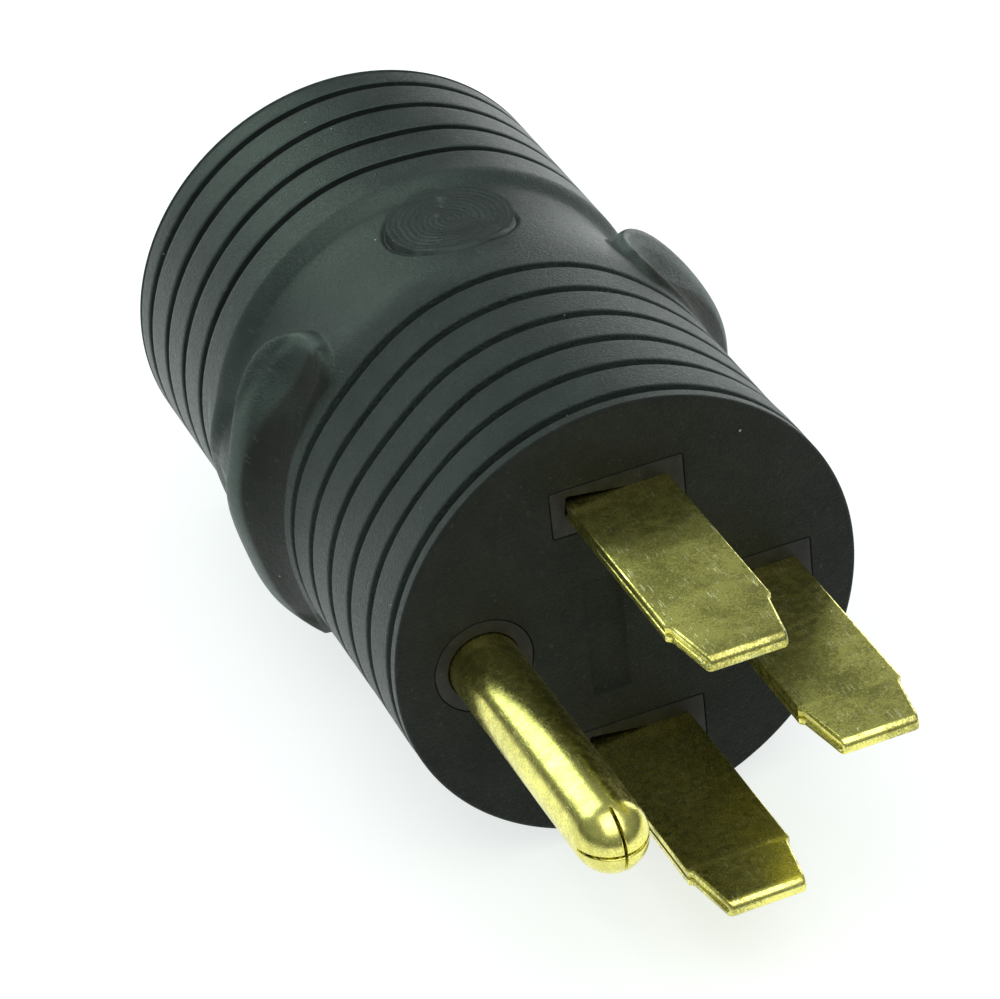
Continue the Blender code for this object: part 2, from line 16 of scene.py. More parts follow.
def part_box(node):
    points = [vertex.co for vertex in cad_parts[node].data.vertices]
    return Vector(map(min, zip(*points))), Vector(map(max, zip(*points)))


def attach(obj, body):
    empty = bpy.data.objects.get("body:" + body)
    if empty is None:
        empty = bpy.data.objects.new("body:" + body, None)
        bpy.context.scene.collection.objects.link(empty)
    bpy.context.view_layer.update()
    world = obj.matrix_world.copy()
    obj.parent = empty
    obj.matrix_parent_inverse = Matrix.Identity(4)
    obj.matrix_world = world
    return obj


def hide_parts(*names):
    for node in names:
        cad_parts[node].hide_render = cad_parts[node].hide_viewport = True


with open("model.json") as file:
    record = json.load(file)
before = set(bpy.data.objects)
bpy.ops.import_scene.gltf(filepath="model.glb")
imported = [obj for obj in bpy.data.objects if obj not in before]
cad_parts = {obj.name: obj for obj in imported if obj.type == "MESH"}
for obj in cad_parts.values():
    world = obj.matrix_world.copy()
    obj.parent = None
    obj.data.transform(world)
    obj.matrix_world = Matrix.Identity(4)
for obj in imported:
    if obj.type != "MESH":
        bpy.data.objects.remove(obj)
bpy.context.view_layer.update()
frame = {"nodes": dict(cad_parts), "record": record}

MM = 0.001
MOUNTS = {mount["name"]: Vector(mount["pos_m"]) for mount in frame["record"]["mounts"]}
FACE = MOUNTS["male_face"]
BODY_LENGTH = MOUNTS["female_face"].y - FACE.y

# Jacket
BAND_RADIUS = FACE.z  # the adapter lies on its bands
FACE_EDGE_RADIUS = 0.5 * MM
REAR_EDGE_RADIUS = 1.5 * MM
GROOVE_LIP_END = 0.76 * MM  # half widths of a groove: where its lip starts, its walls and its floor
GROOVE_WALL = 0.58 * MM
GROOVE_FLOOR = 0.48 * MM
GROOVE_DEPTH = 1.5 * MM
GROOVE_PITCH = 5.72 * MM
MALE_FIRST_GROOVE = 2.2 * MM
MALE_GROOVES = 6
FEMALE_FIRST_GROOVE = 60.5 * MM
FEMALE_GROOVES = 4
FRONT_WALL = 5.0 * MM
CAVITY_RADIUS = 22.8 * MM
SEAM = 0.1 * MM  # the fine line left between the jacket, the carrier's bosses and the prongs
SINK_DEPTH = 0.9 * MM  # shrink marks on the diagonals of the male band
SINK_ANGLE = math.radians(47)
SINK_SPREAD = math.radians(19)
TOP_SINK_DEPTH = 0.5 * MM  # and one on top of the female band
TOP_SINK_ANGLE = math.radians(88)
TOP_SINK_SPREAD = math.radians(15)

# Waist
WAIST_START = 31.9 * MM
WAIST_LOW = 51.8 * MM
RAMP_START = 52.6 * MM
RAMP_LENGTH = 2.9 * MM
WAIST_DIP = 1.5 * MM

# Finger flanges, laid out on the band's surface as a station and an arc from the flange's middle
CREST_RADIUS = 31.1 * MM
CREST_STATION = 41.0 * MM
FLANGE_FRONT = 32.7 * MM
TOP_ARC = 21.9 * MM
TOP_END_RADIUS = 5.7 * MM
TOP_END_SHIFT = 1.0 * MM  # the round top end lies a little further back than the flange's front line
TOP_DROP = 3.1 * MM
TOP_DROP_POWER = 2.4
LOW_ARC = 15.2 * MM
LOW_END_RADIUS = 4.2 * MM
LOW_DROP = 0.7 * MM
LOW_DROP_POWER = 9
LOW_DIP = 1.0 * MM  # the crest is this much lower below the level of the axis
LOW_DIP_ANGLES = (math.radians(10), math.radians(-14))
SHOULDER_REACH = 6.0 * MM  # the rear side falls in a short steep step, then a long gentle slope
SHOULDER_SHARE = 0.42
FLANK_REACH = 16.8 * MM
END_REACH = 1.2 * MM
LOW_END_REACH = 0.7 * MM  # the low ends are blunter
LIP_WIDTH = 1.6 * MM
BOWL_DEPTH = 1.2 * MM
BOWL_STATION = 39.0 * MM
BOWL_WIDTH = 3.4 * MM
BOWL_SHARE = 0.76

# Round moulding mark on top of the waist
DISC_CENTRE = (0.7 * MM, 45.7 * MM)
DISC_RADIUS = 7.2 * MM
DISC_LEVEL = 25.95 * MM

# Male face
BOSS_SIZE = (15.4 * MM, 5.7 * MM)
BOSS_CORNER = 0.25 * MM
GROUND_BOSS_RADIUS = 5.65 * MM
PANEL_SIZE = (4.6 * MM, 15.3 * MM)
PANEL_CENTRE = (-2.8 * MM, -1.0 * MM)
PANEL_DEPTH = 0.3 * MM

# Prong carrier and prongs
INSERT_RADIUS = 22.5 * MM
CARRIER = (5.3 * MM, 14.0 * MM)
STEP_STATION = 11.0 * MM
BLADE_SIZE = (11.9 * MM, 2.03 * MM)
TAIL_SIZE = (5.0 * MM, 1.9 * MM)
BLADE_SHOULDER = 24.9 * MM
BLADE_SHOULDER_STEP = 0.45 * MM
BLADE_TIP_WIDTH = 8.8 * MM
STRIP_THICKNESS = 0.94 * MM
PIN_DOME = 4.4 * MM
PIN_SPLIT = 0.14 * MM
PIN_SPLIT_DEPTH = 3.6 * MM
PIN_LIP = 0.22 * MM
BARREL = (14.5 * MM, 22.0 * MM)
BARREL_RADIUS = 2.5 * MM
BARREL_BORE = 1.8 * MM

# Socket block
BLOCK = (60.3 * MM, BODY_LENGTH)
CHAMBER_END = 78.2 * MM
SLOT_CENTRE = (4.0 * MM, 8.5 * MM)
SLOT_SLANT = math.radians(45)
SLOT_SIZE = (2.4 * MM, 9.6 * MM)
CHAMBER_SIZE = (6.4 * MM, 11.4 * MM)
SOCKET_GROUND = (-11.0 * MM, 0.0)
GROUND_HOLE_RADIUS = 3.6 * MM
GROUND_CHAMBER_RADIUS = 5.6 * MM


# ---------------------------------------------------------------- meshes


def smooth(value):
    value = np.clip(value, 0.0, 1.0)
    return value * value * (3 - 2 * value)


def in_world(points):
    """Places on the adapter as points in the row frame."""
    return np.asarray(points, float).reshape(-1, 3) + np.array((0, FACE.y, FACE.z))


class Skin:
    """Rings of points and the faces between them, gathered into one mesh."""

    def __init__(self):
        self.points = []
        self.faces = []

    def ring(self, points):
        start = len(self.points)
        self.points.extend(tuple(point) for point in points)
        return list(range(start, len(self.points)))

    def bridge(self, ring, other, closed=True):
        count = len(ring)
        for i in range(count if closed else count - 1):
            j = (i + 1) % count
            self.faces.append((ring[i], ring[j], other[j], other[i]))

    def stack(self, rings, closed=True):
        for ring, other in zip(rings, rings[1:]):
            self.bridge(ring, other, closed)

    def cap(self, ring):
        self.faces.append(tuple(ring))

    def fill(self, outer, holes):
        """A flat face between one outer ring and the rings inside it."""
        flat = bmesh.new()
        place = {}
        edges = []
        for ring in [outer, *holes]:
            verts = [flat.verts.new(self.points[i]) for i in ring]
            place.update(zip(verts, ring))
            edges += [flat.edges.new((a, b)) for a, b in zip(verts, verts[1:] + verts[:1])]
        bmesh.ops.triangle_fill(flat, edges=edges, use_beauty=True)
        for face in flat.faces:
            self.faces.append(tuple(place[vert] for vert in face.verts))
        flat.free()

    def make(self, name, sharp_degrees=35):
        mesh = bpy.data.meshes.new(name)
        mesh.from_pydata(in_world(self.points).tolist(), [], self.faces)
        shape = bmesh.new()
        shape.from_mesh(mesh)
        bmesh.ops.remove_doubles(shape, verts=shape.verts, dist=0.0005 * MM)
        bmesh.ops.recalc_face_normals(shape, faces=shape.faces)
        shape.to_mesh(mesh)
        shape.free()
        mesh.shade_smooth()
        mesh.set_sharp_from_angle(angle=math.radians(sharp_degrees))
        obj = bpy.data.objects.new(name, mesh)
        bpy.context.scene.collection.objects.link(obj)
        return obj


def circle(radius, station, centre=(0, 0), sides=None, angles=None):
    if angles is None:
        angles = np.arange(sides) * 2 * np.pi / sides
    x, z = centre
    return [(x + radius * math.cos(a), station, z + radius * math.sin(a)) for a in angles]


def box_outline(size, corner, station, centre, turn=0.0, steps=6):
    """A rectangle with rounded corners, across the axis."""
    half_w, half_h = size[0] / 2 - corner, size[1] / 2 - corner
    cos, sin = math.cos(turn), math.sin(turn)
    points = []
    for quarter, (side, end) in enumerate(((1, 1), (-1, 1), (-1, -1), (1, -1))):
        for step in range(steps + 1):
            angle = math.pi / 2 * (quarter + step / steps)
            x = side * half_w + corner * math.cos(angle)
            z = end * half_h + corner * math.sin(angle)
            points.append((centre[0] + x * cos - z * sin, station, centre[1] + x * sin + z * cos))
    return points


# ---------------------------------------------------------------- jacket

# The jacket's columns round the axis, in degrees: finest on top, where the disc is, and coarsest underneath
RIGHT_SIDE = np.arange(-60, 65, 0.6)
ON_TOP = np.arange(65, 115, 0.33)
LEFT_SIDE = np.arange(115, 240, 0.6)
UNDERNEATH = np.arange(240, 299, 1)
COLUMNS = np.radians(np.concatenate([RIGHT_SIDE, ON_TOP, LEFT_SIDE, UNDERNEATH]))


def bell(value, middle, width):
    return np.exp(-(((value - middle) / width) ** 2))


def sink(station, angle):
    """Shallow shrink marks: one on each diagonal of the male band, one on top of the female band."""
    fold = np.minimum(np.abs(angle) % np.pi, np.pi - np.abs(angle) % np.pi)
    diagonal = bell(fold, SINK_ANGLE, SINK_SPREAD)
    left = np.where(np.cos(angle) < 0, 1.0, 0.6)
    male = SINK_DEPTH * diagonal * left * smooth((station - 4 * MM) / (9 * MM))
    male = male * (1 - smooth((station - 29 * MM) / (7 * MM)))
    female = TOP_SINK_DEPTH * bell(angle, TOP_SINK_ANGLE, TOP_SINK_SPREAD)
    female = female * smooth((station - 54 * MM) / (4 * MM))
    return male + female * (1 - smooth((station - 66 * MM) / (6 * MM)))


def waist(station):
    down = smooth((station - WAIST_START) / (WAIST_LOW - WAIST_START)) ** 1.2
    up = 1 - smooth((station - RAMP_START) / RAMP_LENGTH)
    return WAIST_DIP * down * up


def flange_layout(station, angle):
    """Where a place on the jacket lies on its finger flange.

    Returns the angle above the flange's middle, the share of its length, how far outside its crest line
    the place is, and the crest's station there.
    """
    up = np.where(np.cos(angle) > 0, angle, np.sign(angle) * np.pi - angle)
    top = up > 0
    full = np.where(top, TOP_ARC, LOW_ARC)
    end_radius = np.where(top, TOP_END_RADIUS, LOW_END_RADIUS)
    arc = np.abs(up) * BAND_RADIUS
    end = full - end_radius
    end_station = FLANGE_FRONT + end_radius + np.where(top, TOP_END_SHIFT, 0)
    bow = smooth((arc - end / 3) / (end * 0.7))
    crest = CREST_STATION + (end_station + end_radius - CREST_STATION) * bow
    front = FLANGE_FRONT + np.where(top, TOP_END_SHIFT, 0) * bow
    straight = np.maximum(front - station, station - crest)
    along = np.abs(station - end_station)
    beyond = np.maximum(arc - end, 0)
    power = np.where(top & (station > end_station), 2.0, 3.4)
    corner = (along**power + beyond**power) ** (1 / power) - end_radius
    return up, arc / full, np.where(arc > end, corner, straight), crest


def flange(station, angle, base):
    """The jacket's radius with its finger flanges drawn out of the base radius."""
    up, share, outside, crest = flange_layout(station, angle)
    held = np.clip(share, 0, 1.15)
    high, low = LOW_DIP_ANGLES
    dip = LOW_DIP * smooth((high - up) / (high - low))
    drop = np.where(up > 0, TOP_DROP * held**TOP_DROP_POWER, LOW_DROP * held**LOW_DROP_POWER)
    crest_radius = CREST_RADIUS - dip - drop
    # Inside the crest line the front is scooped out, and deeper in the round top end
    rise = smooth((station - FLANGE_FRONT) / (crest - FLANGE_FRONT)) ** 1.3
    bowl = bell(station, BOWL_STATION, BOWL_WIDTH) * bell(share, BOWL_SHARE, 0.16) * (up > 0)
    scoop = BAND_RADIUS + (crest_radius - BAND_RADIUS) * rise - BOWL_DEPTH * bowl
    along = smooth(1.15 * (station - FLANGE_FRONT) / (crest - FLANGE_FRONT))
    front_radius = BAND_RADIUS + (0.15 + 0.8 * held**4) * MM
    rim = front_radius + (crest_radius - front_radius) * np.where(share > 0.7, along, rise)
    inner = scoop + (rim - scoop) * smooth(1 + outside / LIP_WIDTH)
    # Outside it the flank falls away: at once round the ends and in front, in a step and a slope behind
    fade_start = np.where(up > 0, math.radians(-2), math.radians(16))
    fade = (np.abs(up) - fade_start) / math.radians(16)
    behind = smooth((station - 38 * MM) / (3 * MM)) * (1 - smooth(fade))
    end_reach = np.where((up < 0) & (share > 0.7), LOW_END_REACH, END_REACH)
    sharp = 1 - smooth(outside / (end_reach + (SHOULDER_REACH - end_reach) * behind))
    slope = 1 - np.clip(outside / FLANK_REACH, 0, 1) ** 4
    kept = (1 - SHOULDER_SHARE) * behind
    outer = base + np.maximum(rim - base, 0) * (sharp * (1 - kept) + slope * kept)
    return np.where(outside > 0, outer, inner)


def gate_disc(station, angle, radius):
    """A round, flat moulding mark on top of the waist, with a fine ring round it and two small nubs."""
    across = radius * np.cos(angle) - DISC_CENTRE[0]
    along = station - DISC_CENTRE[1]
    far = np.hypot(across, along)
    inside = 1 - smooth((far - DISC_RADIUS + 0.25 * MM) / (0.3 * MM))
    raised = np.maximum(radius, DISC_LEVEL / np.maximum(np.sin(angle), 0.2)) + 0.1 * MM
    swirl = 0.035 * MM * np.sin(far / (0.55 * MM) + 0.8 * np.sin(2 * np.arctan2(along, across)))
    groove = 0.3 * MM * bell(far, DISC_RADIUS + 0.3 * MM, 0.24 * MM)
    nubs = 0.3 * MM * bell(np.hypot(across - 1.0 * MM, (along - 4.6 * MM) / 2.2), 0, 0.35 * MM)
    nubs = nubs + 0.2 * MM * bell(np.hypot(across + 0.6 * MM, along - 1.6 * MM), 0, 0.4 * MM)
    mixed = radius + (raised + swirl + nubs - radius) * inside - groove
    return np.where((np.sin(angle) > 0.5) & (far < 9 * MM), mixed, radius)


def groove_cut(station):
    first = np.where(station < WAIST_LOW, MALE_FIRST_GROOVE, FEMALE_FIRST_GROOVE)
    count = np.where(station < WAIST_LOW, MALE_GROOVES, FEMALE_GROOVES)
    index = np.clip(np.round((station - first) / GROOVE_PITCH), 0, count - 1)
    away = np.abs(station - first - index * GROOVE_PITCH)
    wall_top = 0.12 * MM
    lip = wall_top * smooth((GROOVE_LIP_END - away) / (GROOVE_LIP_END - GROOVE_WALL)) ** 1.6
    wall = (GROOVE_DEPTH - wall_top) * np.clip((GROOVE_WALL - away) / (GROOVE_WALL - GROOVE_FLOOR), 0, 1)
    return lip + wall


def jacket_radius(station, angle):
    angle = (angle + np.pi) % (2 * np.pi) - np.pi
    base = BAND_RADIUS - waist(station) - sink(station, angle)
    flanged = (station > FLANGE_FRONT - END_REACH) & (station < CREST_STATION + FLANK_REACH)
    radius = np.where(flanged, flange(station, angle, base), base)
    radius = gate_disc(station, angle, radius)
    return radius - groove_cut(station)


def rounded_edge(radius, steps=6):
    """How far in from the end face, and how far in from the band, along a rounded edge from the face."""
    turns = [math.pi / 2 * step / steps for step in range(steps + 1)]
    return [(radius * (1 - math.cos(turn)), radius * (1 - math.sin(turn))) for turn in turns]


def jacket_rows():
    """(station, inset) of each ring of the jacket's outside. The inset rounds the two end edges."""
    rows = rounded_edge(FACE_EDGE_RADIUS)
    rows += [(BODY_LENGTH - station, inset) for station, inset in rounded_edge(REAR_EDGE_RADIUS)]
    half = [0, GROOVE_FLOOR, GROOVE_WALL, GROOVE_WALL + 0.03 * MM, GROOVE_WALL + 0.08 * MM, GROOVE_LIP_END]
    grooves = [MALE_FIRST_GROOVE + GROOVE_PITCH * i for i in range(MALE_GROOVES)]
    grooves += [FEMALE_FIRST_GROOVE + GROOVE_PITCH * i for i in range(FEMALE_GROOVES)]
    for station in grooves:
        rows += [(station + offset, 0.0) for offset in half]
        rows += [(station - offset, 0.0) for offset in half[1:]]
        if station != grooves[MALE_GROOVES - 1]:
            rows += [(station + GROOVE_PITCH * share, 0.0) for share in (0.2, 0.35, 0.5, 0.65, 0.8)]
    last = grooves[MALE_GROOVES - 1] + GROOVE_LIP_END
    first = FEMALE_FIRST_GROOVE - GROOVE_LIP_END
    rows += [(station, 0.0) for station in np.arange(last, first, 0.17 * MM)[1:-1]]
    rows = sorted(row for row in rows if row[0] < BODY_LENGTH + 1e-9)
    kept = rows[:1]
    for row in rows[1:]:
        if row[0] - kept[-1][0] > 0.02 * MM or row[1] > 0:
            kept.append(row)
    return kept


def prong_centre(prong):
    low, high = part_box(f"prong_{prong}")
    return ((low.x + high.x) / 2, (low.z + high.z) / 2 - FACE.z)


PRONGS = {prong: prong_centre(prong) for prong in ("hot_x", "hot_y", "neutral", "ground")}


def boss_ring(prong, station, grow):
    if prong == "ground":
        return circle(GROUND_BOSS_RADIUS + grow, station, PRONGS[prong], 96)
    size = (BOSS_SIZE[0] + 2 * grow, BOSS_SIZE[1] + 2 * grow)
    return box_outline(size, BOSS_CORNER + grow, station, PRONGS[prong])


def make_jacket():
    skin = Skin()
    rings = []
    for station, inset in jacket_rows():
        radius = jacket_radius(np.full(len(COLUMNS), station), COLUMNS) - inset
        across, up = radius * np.cos(COLUMNS), radius * np.sin(COLUMNS)
        rings.append(skin.ring(np.stack([across, np.full(len(COLUMNS), station), up], 1)))
    skin.stack(rings)
    mouths = []
    backs = []
    lip = 0.09 * MM
    for prong in PRONGS:
        edge = [(0, lip), (0.12 * lip, 0.55 * lip), (0.45 * lip, 0.15 * lip), (lip, 0), (FRONT_WALL, 0)]
        walls = [skin.ring(boss_ring(prong, station, SEAM + grow)) for station, grow in edge]
        skin.stack(walls)
        mouths.append(walls[0])
        backs.append(walls[-1])
    panel = []
    slope = [(0, 0), (0.05 * MM, 0.08 * MM)]
    slope += [(PANEL_DEPTH - 0.06 * MM, 0.3 * MM), (PANEL_DEPTH, 0.45 * MM)]
    for station, inset in slope:
        size = [side - 2 * inset for side in PANEL_SIZE]
        panel.append(skin.ring(box_outline(size, 0.5 * MM - 0.8 * inset, station, PANEL_CENTRE)))
    skin.stack(panel)
    skin.fill(panel[-1], [])
    skin.fill(rings[0], [*mouths, panel[0]])
    inside = skin.ring(circle(CAVITY_RADIUS, FRONT_WALL, angles=COLUMNS))
    mouth = skin.ring(circle(CAVITY_RADIUS, BODY_LENGTH, angles=COLUMNS))
    skin.fill(inside, backs)
    skin.bridge(inside, mouth)
    skin.bridge(mouth, rings[-1])
    return skin.make("body_overmould_skin")


# ---------------------------------------------------------------- prongs and their carrier


def passage(prong, station, grow, size=BLADE_SIZE):
    if prong == "ground":
        low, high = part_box("prong_ground")
        radius = (high.x - low.x) / 2 if size == BLADE_SIZE else BARREL_RADIUS
        return circle(radius + grow, station, PRONGS[prong], 64)
    return box_outline([side + 2 * grow for side in size], 0.25 * MM, station, PRONGS[prong], 3)


def make_male_insert():
    """A disc behind the face, with a boss round each prong that comes up flush with the face."""
    skin = Skin()
    front, back = CARRIER
    outer_front = skin.ring(circle(INSERT_RADIUS, front, sides=96))
    outer_back = skin.ring(circle(INSERT_RADIUS, back, sides=96))
    skin.bridge(outer_front, outer_back)
    roots = []
    exits = []
    lip = 0.12 * MM
    for prong in PRONGS:
        edge = [(front, 0), (lip, 0), (0.4 * lip, -0.15 * lip), (0.1 * lip, -0.5 * lip), (0, -lip)]
        sides = [skin.ring(boss_ring(prong, station, grow)) for station, grow in edge]
        skin.stack(sides)
        hole = [skin.ring(passage(prong, 0, 2 * SEAM)), skin.ring(passage(prong, SEAM, SEAM))]
        hole.append(skin.ring(passage(prong, STEP_STATION + SEAM, SEAM)))
        hole.append(skin.ring(passage(prong, STEP_STATION + SEAM, SEAM, TAIL_SIZE)))
        hole.append(skin.ring(passage(prong, back, SEAM, TAIL_SIZE)))
        skin.stack(hole)
        skin.fill(sides[-1], [hole[0]])
        roots.append(sides[0])
        exits.append(hole[-1])
    skin.fill(outer_front, roots)
    skin.fill(outer_back, exits)
    return skin.make("male_insert_skin")


def strip_section(half, edge, seam):
    """A folded strip's outline across, as (x, depth below its outer face).

    It is rounded outside and bevelled at the seam.
    """
    turns = [math.pi / 2 * step / 4 for step in range(5)]
    right = [(half - edge + edge * math.sin(turn), edge - edge * math.cos(turn)) for turn in turns]
    right += [(half, STRIP_THICKNESS - seam), (half - 0.6 * seam, STRIP_THICKNESS - 0.3 * seam)]
    right += [(half - 1.4 * seam, STRIP_THICKNESS)]
    return right + [(-x, depth) for x, depth in reversed(right)]


def blade_half_width(station):
    """A blade's half width: full to the shoulder, a small step, then a taper to the nose."""
    half = BLADE_SIZE[0] / 2
    past = -station - BLADE_SHOULDER
    if past <= 0:
        return half
    if past <= BLADE_SHOULDER_STEP:
        return half - past
    low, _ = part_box("prong_hot_y")
    length = FACE.y - low.y
    share = min((past - BLADE_SHOULDER_STEP) / (length - BLADE_SHOULDER - BLADE_SHOULDER_STEP), 1)
    start = half - BLADE_SHOULDER_STEP
    return start + (BLADE_TIP_WIDTH / 2 - start) * share


def make_blade(prong, wired):
    """One brass strip folded back on itself: two layers, a round nose and a seam down each side."""
    low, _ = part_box(f"prong_{prong}")
    length = FACE.y - low.y
    full = BLADE_SIZE[1] / 2
    nose = full - length
    x, z = PRONGS[prong]
    shoulder = -BLADE_SHOULDER
    stations = [STEP_STATION, 2 * MM] + [-4 * MM * step for step in range(6)]
    stations += [shoulder + 0.6 * MM, shoulder, shoulder - BLADE_SHOULDER_STEP, shoulder - 1.1 * MM]
    stations += [-28 * MM, -30 * MM, nose + 0.4 * MM]
    route = [(station, full, 0.0) for station in stations]
    route += [(nose, full, math.pi * step / 16) for step in range(17)]
    route += [(station, full, math.pi) for station in reversed(stations)]
    skin = Skin()
    rings = []
    for station, _, turn in route:
        half = blade_half_width(station - full * math.sin(turn))
        taper = min(max((-station - BLADE_SHOULDER) / (6 * MM), 0), 1)
        edge = (0.26 + 0.16 * taper) * MM
        seam = (0.14 + 0.16 * taper) * MM
        ring = []
        for across, depth in strip_section(half, edge, seam):
            out = full - depth
            ring.append((x + across, station - out * math.sin(turn), z + out * math.cos(turn)))
        rings.append(skin.ring(ring))
    skin.stack(rings)
    skin.cap(rings[0])
    skin.cap(rings[-1])
    tail_end = BARREL[0] + 0.6 * MM if wired else CARRIER[1]
    tail = []
    for station in (STEP_STATION, tail_end):
        tail.append(skin.ring(box_outline(TAIL_SIZE, 0.2 * MM, station, (x, z), steps=2)))
    skin.stack(tail)
    skin.cap(tail[0])
    skin.cap(tail[1])
    if wired:
        add_barrel(skin, (x, z))
    return skin.make(f"prong_{prong}_strip")


def add_barrel(skin, centre):
    """The sleeve behind a prong that its wire is crimped into."""
    low, high = BARREL
    floor = low + 1.0 * MM
    chamfer = 0.15 * MM
    outline = [(BARREL_RADIUS - chamfer, low), (BARREL_RADIUS, low + chamfer)]
    outline += [(BARREL_RADIUS, high - chamfer), (BARREL_RADIUS - chamfer, high)]
    outline += [(BARREL_BORE + chamfer, high), (BARREL_BORE, high - chamfer), (BARREL_BORE, floor)]
    rings = [skin.ring(circle(radius, station, centre, 48)) for radius, station in outline]
    skin.stack(rings)
    skin.cap(rings[0])
    skin.cap(rings[-1])


def make_pin():
    """A round pin whose domed tip is slit crosswise, each slit with rounded lips."""
    low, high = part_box("prong_ground")
    radius = (high.x - low.x) / 2
    tip = low.y - FACE.y
    dome = tip + PIN_DOME
    floor = tip + PIN_SPLIT_DEPTH
    centre_x, centre_z = PRONGS["ground"]
    angles = np.radians(np.arange(0, 360, 0.75))
    skin = Skin()
    profile = [(BARREL_RADIUS, BARREL[0]), (BARREL_RADIUS, STEP_STATION), (radius, STEP_STATION)]
    profile += [(radius, station) for station in np.linspace(2 * MM, dome, 9)]
    steps = 90
    turns = [math.pi / 2 * step / steps for step in range(1, steps)]
    profile += [(radius * math.cos(turn), dome - PIN_DOME * math.sin(turn)) for turn in turns]
    rings = []
    for ring_radius, station in profile:
        x, z = ring_radius * np.cos(angles), ring_radius * np.sin(angles)
        away = np.minimum(np.abs(x), np.abs(z))
        stations = np.full(len(angles), station)
        if station < floor:
            round_over = np.clip((PIN_SPLIT + PIN_LIP - away) / PIN_LIP, 0, 1)
            stations = stations + PIN_LIP * (1 - np.sqrt(1 - round_over**2))
            stations = np.where(away < PIN_SPLIT, floor, np.minimum(stations, floor))
        rings.append(skin.ring(np.stack([centre_x + x, stations, centre_z + z], 1)))
    skin.stack(rings)
    skin.cap(rings[0])
    skin.cap(rings[-1])
    add_barrel(skin, (centre_x, centre_z))
    return skin.make("prong_ground_turned", 40)


# ---------------------------------------------------------------- socket block


def make_socket_block():
    """The block with two slanted slots and a round ground hole, each with a wider chamber behind."""
    skin = Skin()
    back, front = BLOCK
    chamfer = 0.5 * MM
    x, z = SLOT_CENTRE
    mouths = []
    rooms = []
    for centre, turn in (((x, z), SLOT_SLANT), ((x, -z), -SLOT_SLANT), (SOCKET_GROUND, None)):
        rings = []
        stages = [(front, chamfer, False), (front - chamfer, 0, False), (CHAMBER_END, 0, False)]
        for station, grow, in_chamber in stages + [(CHAMBER_END, 0, True), (back, 0, True)]:
            if turn is None:
                radius = GROUND_CHAMBER_RADIUS if in_chamber else GROUND_HOLE_RADIUS
                ring = circle(radius + grow, station, centre, 64)
            else:
                size = CHAMBER_SIZE if in_chamber else SLOT_SIZE
                size = [side + 2 * grow for side in size]
                ring = box_outline(size, 0.3 * MM + grow, station, centre, turn)
            rings.append(skin.ring(ring))
        skin.stack(rings)
        mouths.append(rings[0])
        rooms.append(rings[-1])
    outline = [(INSERT_RADIUS, back), (INSERT_RADIUS, front - 0.3 * MM), (INSERT_RADIUS - 0.3 * MM, front)]
    outer = [skin.ring(circle(radius, station, sides=128)) for radius, station in outline]
    skin.stack(outer)
    skin.fill(outer[0], rooms)
    skin.fill(outer[-1], mouths)
    return skin.make("female_insert_skin")


# ---------------------------------------------------------------- materials


